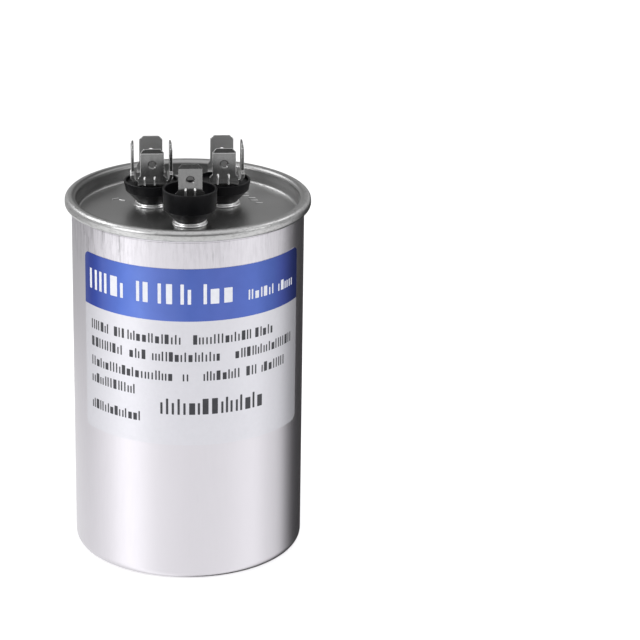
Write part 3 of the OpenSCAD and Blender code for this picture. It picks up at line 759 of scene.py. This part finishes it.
def dressNode(nodeName, edges, rules):
    piece = copyNode(nodeName)
    weldMesh(piece, rules)
    roundEdges(piece, edges)
    # rounded edges are marked for a painted highlight, faces inside a strap for painted light
    highlight = piece.data.attributes.new("edgeShine", "FLOAT", "FACE")
    highlight.data.foreach_set("value", [float(face.material_index) for face in piece.data.polygons])
    inner = piece.data.attributes.new("innerFace", "FLOAT", "FACE")
    inner.data.foreach_set("value", innerShares(piece.data, heartOfStrap.get(nodeName), rules))
    piece.data.polygons.foreach_set("material_index", [0] * len(piece.data.polygons))
    piece.data.materials.pop(index=1)
    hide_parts(nodeName)
    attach(piece, "root")


for edges in (cupEdges, strapEdges):
    for nodeName in edges["nodes"]:
        dressNode(nodeName, edges, edgeRules)
print("cups and straps dressed")


# the cove of aluminium pressed up under the seam, where the wall meets it

seamFoot = {
    "wallRadius": canRadius - 0.01 * mm,
    "foot": 96.98 * mm,
    "reach": 0.62 * mm,          # how far it comes out under the seam
    "rise": 0.66 * mm,
    "sunk": 0.10 * mm,           # how far its hidden sides lie in the neck
    "arcSteps": 6,
    "steps": 240,
    "sharpAngle": 40,
}


def makeSeamFoot(values):
    radius, foot, reach = values["wallRadius"], values["foot"], values["reach"]
    rise, sunk = values["rise"], values["sunk"]
    top = foot + rise + sunk
    turns = [math.radians(90 * step / values["arcSteps"]) for step in range(values["arcSteps"] + 1)]
    profile = [(radius + reach * (1 - math.cos(turn)), foot + rise * math.sin(turn)) for turn in turns]
    profile += [(radius + reach, top), (radius - sunk, top), (radius - sunk, foot)]
    corners, faces, count, steps = [], [], len(profile), values["steps"]
    for step in range(steps):
        turn = math.tau * step / steps
        corners += [(out * math.cos(turn), out * math.sin(turn), z) for out, z in profile]
    for step in range(steps):
        here, there = step * count, (step + 1) % steps * count
        faces += [(here + i, there + i, there + (i + 1) % count, here + (i + 1) % count)
                  for i in range(count)]
    mesh = bpy.data.meshes.new("seam_foot")
    mesh.from_pydata(corners, [], faces)
    mesh.polygons.foreach_set("use_smooth", [True] * len(faces))
    mesh.set_sharp_from_angle(angle=math.radians(values["sharpAngle"]))
    mesh.materials.append(canAluminium)
    piece = bpy.data.objects.new("seam_foot", mesh)
    bpy.context.scene.collection.objects.link(piece)
    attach(piece, "root")


makeSeamFoot(seamFoot)
print("seam foot made")


# shape trees: a seed shape set down on points, pulled to size and given its finish

def startShapeTree(name, sizes, finish):
    tree = bpy.data.node_groups.new(name, "GeometryNodeTree")
    kinds = {"Geometry": "NodeSocketGeometry", **{size: "NodeSocketFloat" for size in sizes},
             finish: "NodeSocketMaterial"}
    for socketName, kind in kinds.items():
        tree.interface.new_socket(name=socketName, in_out="INPUT", socket_type=kind)
    tree.interface.new_socket(name="Geometry", in_out="OUTPUT", socket_type="NodeSocketGeometry")
    return tree, addNode(tree, "NodeGroupInput").outputs


def readAttribute(tree, name, kind="FLOAT_VECTOR"):
    stored = addNode(tree, "GeometryNodeInputNamedAttribute", {"Name": name}, data_type=kind)
    return stored.outputs["Attribute"]


def setDownSeeds(tree, points, seed, size, **turn):
    seedShape = addNode(tree, "GeometryNodeObjectInfo", {"Object": seed}).outputs["Geometry"]
    placed = addNode(tree, "GeometryNodeInstanceOnPoints",
                     {"Points": points, "Instance": seedShape, "Scale": size, **turn}).outputs["Instances"]
    return addNode(tree, "GeometryNodeRealizeInstances", {"Geometry": placed}).outputs["Geometry"]


def movePoints(tree, shapes, **change):
    return addNode(tree, "GeometryNodeSetPosition", {"Geometry": shapes, **change}).outputs["Geometry"]


def endShapeTree(tree, shapes, finish):
    finished = addNode(tree, "GeometryNodeSetMaterial", {"Geometry": shapes, "Material": finish})
    addNode(tree, "NodeGroupOutput", {"Geometry": finished.outputs["Geometry"]})


def runTree(piece, tree, inputs):
    modifier = piece.modifiers.new(tree.name, "NODES")
    modifier.node_group = tree
    identifiers = {item.name: item.identifier for item in tree.interface.items_tree
                   if item.in_out == "INPUT"}
    for name, value in inputs.items():
        modifier[identifiers[name]] = value
    applyModifiers(piece)


def pointPiece(name, places, attributes):
    # loose points that each carry the named values; each list is flat
    mesh = bpy.data.meshes.new(name)
    mesh.from_pydata(places, [], [])
    for attributeName, (kind, field, values) in attributes.items():
        mesh.attributes.new(attributeName, kind, "POINT").data.foreach_set(field, values)
    piece = bpy.data.objects.new(name, mesh)
    bpy.context.scene.collection.objects.link(piece)
    return piece


# pressed marks: two ribs at the root of each blade, and short bars on the lid's floor

outerRibs = ((-1.3, 1.3), (103.1, 105.2))
pressing = {
    # blade: way out (x, y), the ribs' places across it from its middle, and their foot and top, in mm
    "blades": {
        "common_front_blade": ((0, -1), (-2.0, 0.7), (103.1, 105.7)),
        "common_back_blade": ((0, 1), *outerRibs),
        "common_left_blade": ((-1, 0), *outerRibs),
        "common_right_blade": ((1, 0), *outerRibs),
        "compressor_front_blade": ((0, -1), (-1.7, 1.2), (103.1, 106.3)),
        "compressor_back_blade": ((0, 1), *outerRibs),
        "compressor_side_blade": ((1, 0), *outerRibs),
        "fan_blade": ((0, -1), (-1.25, 1.25), (103.6, 106.8)),
    },
    "halfBlade": 0.4 * mm,
    "ribWidth": 0.62 * mm,
    "ribHeight": 0.22 * mm,
    # the ribs carry the painted highlight of the edges; the bars carry none
    "ribHighlight": 0.9,
    # bars on the lid: x and y in mm, and turn in degrees from +X
    "bars": [(-19.5, 10.1, 28), (-17.6, 8.8, -25), (16.3, 13.6, 8), (16.2, 11.3, 12), (17.9, 9.4, 4),
             (18.4, 7.3, 6), (19.6, 4.9, -8)],
    "lidFloor": 95.9 * mm,
    "barLength": 2.1 * mm,
    "barWidth": 0.44 * mm,
    "barHeight": 0.20 * mm,
    "barHighlight": 0.0,
}
ribSeedShape = {"segments": 14, "rings": 9, "cutBehind": 0.3, "placeDigits": 5}


def makeRibSeed(values):
    # a round bar of no length, cut flat behind; its halves are pulled apart along Z
    mesh = bmesh.new()
    bmesh.ops.create_uvsphere(mesh, u_segments=values["segments"], v_segments=values["rings"], radius=1.0)
    everything = mesh.verts[:] + mesh.edges[:] + mesh.faces[:]
    bmesh.ops.bisect_plane(mesh, geom=everything, plane_co=(0, values["cutBehind"], 0), plane_no=(0, 1, 0),
                           clear_outer=True)
    bmesh.ops.holes_fill(mesh, edges=[edge for edge in mesh.edges if edge.is_boundary])
    bmesh.ops.recalc_face_normals(mesh, faces=mesh.faces)
    # the cut leaves its points in another order each run, so they are numbered by their rounded places
    digits = values["placeDigits"]
    places = {point: tuple(round(value, digits) for value in point.co) for point in mesh.verts}
    points = sorted(mesh.verts, key=places.get)
    numbers = {point: i for i, point in enumerate(points)}
    faces = sorted([numbers[corner] for corner in face.verts] for face in mesh.faces)
    data = bpy.data.meshes.new("ribSeed")
    data.from_pydata([places[point] for point in points], [], faces)
    mesh.free()
    data.polygons.foreach_set("use_smooth", [True] * len(data.polygons))
    pulls = [pull for point in data.vertices for pull in (0, 0, math.copysign(0.5, point.co.z))]
    data.attributes.new("pull", "FLOAT_VECTOR", "POINT").data.foreach_set("vector", pulls)
    return bpy.data.objects.new("ribSeed", data)


def ribTree(seed):
    tree, given = startShapeTree("pressedRibs", ("Rib width", "Rib height", "Highlight"), "Finish")
    half = maths(tree, "MULTIPLY", given["Rib width"], 0.5)
    size = addNode(tree, "ShaderNodeCombineXYZ", {"X": half, "Y": given["Rib height"], "Z": half})
    lie = addNode(tree, "FunctionNodeEulerToRotation", {"Euler": readAttribute(tree, "lie")})
    turn = lie.outputs["Rotation"]
    ribs = setDownSeeds(tree, given["Geometry"], seed, size.outputs["Vector"], Rotation=turn)
    along = addNode(tree, "FunctionNodeRotateVector",
                    {"Vector": readAttribute(tree, "pull"), "Rotation": turn})
    stretch = addNode(tree, "ShaderNodeVectorMath",
                      {0: along.outputs["Vector"], "Scale": readAttribute(tree, "span", "FLOAT")},
                      operation="SCALE")
    longRibs = movePoints(tree, ribs, Offset=stretch.outputs["Vector"])
    # stores the share of painted highlight on the ribs
    highlighted = addNode(tree, "GeometryNodeStoreNamedAttribute",
                    {"Geometry": longRibs, "Name": "edgeShine", "Value": given["Highlight"]}, data_type="FLOAT")
    endShapeTree(tree, highlighted.outputs["Geometry"], given["Finish"])
    return tree


def pressRibs(name, ribs, width, height, highlight, finish, tree):
    # each rib: its middle, how it lies as Euler angles, and its length
    piece = pointPiece(name, [place for place, _, _ in ribs], {
        "lie": ("FLOAT_VECTOR", "vector", [angle for _, angles, _ in ribs for angle in angles]),
        "span": ("FLOAT", "value", [length - width for _, _, length in ribs])})
    runTree(piece, tree, {"Rib width": width, "Rib height": height, "Highlight": highlight, "Finish": finish})
    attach(piece, "root")


def bladeRibs(values):
    ribs = []
    for blade, ((outX, outY), places, (foot, top)) in values["blades"].items():
        x, y, _ = mounts[blade]["pos_m"]
        angle = math.atan2(outX, -outY)
        for across in places:
            middle = (x + outX * values["halfBlade"] - outY * across * mm,
                      y + outY * values["halfBlade"] + outX * across * mm, (foot + top) / 2 * mm)
            ribs.append((middle, (0, 0, angle), (top - foot) * mm))
    return ribs


def lidBars(values):
    return [((x * mm, y * mm, values["lidFloor"]), (-math.pi / 2, 0, math.radians(turn - 90)),
             values["barLength"]) for x, y, turn in values["bars"]]


ribMaker = ribTree(makeRibSeed(ribSeedShape))
pressRibs("blade_ribs", bladeRibs(pressing), pressing["ribWidth"], pressing["ribHeight"],
          pressing["ribHighlight"], terminalTin, ribMaker)
pressRibs("lid_bars", lidBars(pressing), pressing["barWidth"], pressing["barHeight"],
          pressing["barHighlight"], lidTinplate, ribMaker)
print("ribs and bars pressed")


# printed marks: plain upright strokes where a label has its words, wrapped round the can

labelPrint = {
    "seed": 7,
    "inkDepth": 0.018 * mm,
    "seedSteps": 3,                               # steps round a corner, and columns that let a stroke bend
    "seedColumns": (0.25, 0.0, -0.25),
    # a stroke's width, its height, and the gap to the next are drawn from these
    "broads": (1, 1, 1, 2.6),
    "talls": (1.0, 0.74),
    "gaps": (1.1, 1.5),
    # each row: foot, height, stroke width, first and last angle of each word in degrees
    "white": {
        "radius": canRadius + 0.12 * mm,          # on the band, which lies on the film
        "corner": 0.138 * mm,
        "rows": [(80.0 * mm, 5.6 * mm, 0.90 * mm, [(-58, -32), (-28, -22), (-17, -10), (-6, 1), (5, 23)]),
                 (79.8 * mm, 2.8 * mm, 0.46 * mm, [(28, 44), (47, 61)])],
    },
    "dark": {
        "radius": canRadius + 0.08 * mm,          # on the film
        "corner": 0.126 * mm,
        "rows": [(68.7 * mm, 2.7 * mm, 0.42 * mm, [(-57, -44), (-41, -35), (-33, -5), (0, 30), (32, 43)]),
                 (63.8 * mm, 2.7 * mm, 0.42 * mm, [(-57, -35), (-32, -23), (-20, 13), (21, 60)]),
                 (58.3 * mm, 2.7 * mm, 0.42 * mm, [(-57, -9), (-5, -1), (5, 24), (27, 33), (36, 52)]),
                 (53.5 * mm, 2.7 * mm, 0.42 * mm, [(-57, -29)]),
                 (46.0 * mm, 2.7 * mm, 0.42 * mm, [(-57, -26)]),
                 (48.7 * mm, 4.5 * mm, 0.62 * mm, [(-16, 38)])],
    },
}


def cornerArc(quadrant, across, up, steps):
    turns = [math.radians(90 * (quadrant + step / steps)) for step in range(steps + 1)]
    return [(math.cos(turn), math.sin(turn), across, up) for turn in turns]


def makeMarkSeed(steps, columns):
    # closed plate of no width with rounded corners; its pull stretches it, and the columns let it bend
    outline = (cornerArc(0, 0.5, 0.5, steps) + [(0, 1, column, 0.5) for column in columns]
               + cornerArc(1, -0.5, 0.5, steps) + cornerArc(2, -0.5, -0.5, steps)
               + [(0, -1, column, -0.5) for column in reversed(columns)] + cornerArc(3, 0.5, -0.5, steps))
    count, arc, inner = len(outline), steps + 1, len(columns)
    topAt, footAt = arc, 3 * arc + 2 * inner - 1            # first column's points at the top and the foot
    front = [tuple(range(footAt + 1, count)) + tuple(range(arc)) + (topAt, footAt),
             tuple(range(arc + inner, 3 * arc + inner)) + (3 * arc + inner, arc + inner - 1)]
    front += [(topAt + i, topAt + i + 1, footAt - i - 1, footAt - i) for i in range(inner - 1)]
    back = [tuple(i + count for i in reversed(face)) for face in front]
    rim = [(i, i + count, (i + 1) % count + count, (i + 1) % count) for i in range(count)]
    mesh = bpy.data.meshes.new("markSeed")
    corners = [(x, depth, z) for depth in (-1.0, 0.0) for x, z, _, _ in outline]
    mesh.from_pydata(corners, [], front + back + rim)
    pulls = [pull for _, _, across, up in outline + outline for pull in (across, 0, up)]
    mesh.attributes.new("pull", "FLOAT_VECTOR", "POINT").data.foreach_set("vector", pulls)
    return bpy.data.objects.new("markSeed", mesh)


def wrapRound(tree, wallRadius):
    # flat across becomes an angle, and depth a distance from the wall
    flat = addNode(tree, "GeometryNodeInputPosition").outputs["Position"]
    split = addNode(tree, "ShaderNodeSeparateXYZ", {"Vector": flat}).outputs
    angle = maths(tree, "DIVIDE", split["X"], wallRadius)
    radius = maths(tree, "SUBTRACT", wallRadius, split["Y"])
    forward = maths(tree, "MULTIPLY", radius, maths(tree, "COSINE", angle))
    wrapped = addNode(tree, "ShaderNodeCombineXYZ", {
        "X": maths(tree, "MULTIPLY", radius, maths(tree, "SINE", angle)),
        "Y": maths(tree, "MULTIPLY", forward, -1.0), "Z": split["Z"]})
    return wrapped.outputs["Vector"]


def printTree(seed):
    tree, given = startShapeTree("printedMarks", ("Wall radius", "Ink depth", "Corner radius"), "Ink")
    size = addNode(tree, "ShaderNodeCombineXYZ", {"X": given["Corner radius"], "Y": given["Ink depth"],
                                                  "Z": given["Corner radius"]})
    strokes = setDownSeeds(tree, given["Geometry"], seed, size.outputs["Vector"])
    pull, span = readAttribute(tree, "pull"), readAttribute(tree, "span")
    stretch = addNode(tree, "ShaderNodeVectorMath", {0: pull, 1: span}, operation="MULTIPLY")
    wide = movePoints(tree, strokes, Offset=stretch.outputs["Vector"])
    bent = movePoints(tree, wide, Position=wrapRound(tree, given["Wall radius"]))
    endShapeTree(tree, bent, given["Ink"])
    return tree


def layOutRow(row, radius, draw, values):
    # fills each word with strokes of two heights and a few blocks
    foot, height, stroke, words = row
    marks = []
    for first, last in words:
        at, end = math.radians(first) * radius, math.radians(last) * radius
        while at + stroke <= end:
            broad = min(stroke * draw.choice(values["broads"]), end - at)
            tall = height * draw.choice(values["talls"])
            marks.append((at + broad / 2, foot + tall / 2, broad, tall))
            at += broad + stroke * draw.choice(values["gaps"])
    return marks


def printMarks(name, ink, field, values, tree):
    draw = random.Random(values["seed"])
    radius, corner = field["radius"], field["corner"]
    marks = [mark for row in field["rows"] for mark in layOutRow(row, radius, draw, values)]
    places = [(x, 0, z) for x, z, _, _ in marks]
    spans = [size for _, _, broad, tall in marks for size in (broad - 2 * corner, 0, tall - 2 * corner)]
    piece = pointPiece(name, places, {"span": ("FLOAT_VECTOR", "vector", spans)})
    runTree(piece, tree, {"Wall radius": radius, "Ink depth": values["inkDepth"], "Corner radius": corner,
                          "Ink": ink})
    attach(piece, "root")


markTree = printTree(makeMarkSeed(labelPrint["seedSteps"], labelPrint["seedColumns"]))
printMarks("label_white_marks", plain["labelWhiteInk"], labelPrint["white"], labelPrint, markTree)
printMarks("label_dark_marks", plain["labelDarkInk"], labelPrint["dark"], labelPrint, markTree)
print("label printed")


print("scene built")
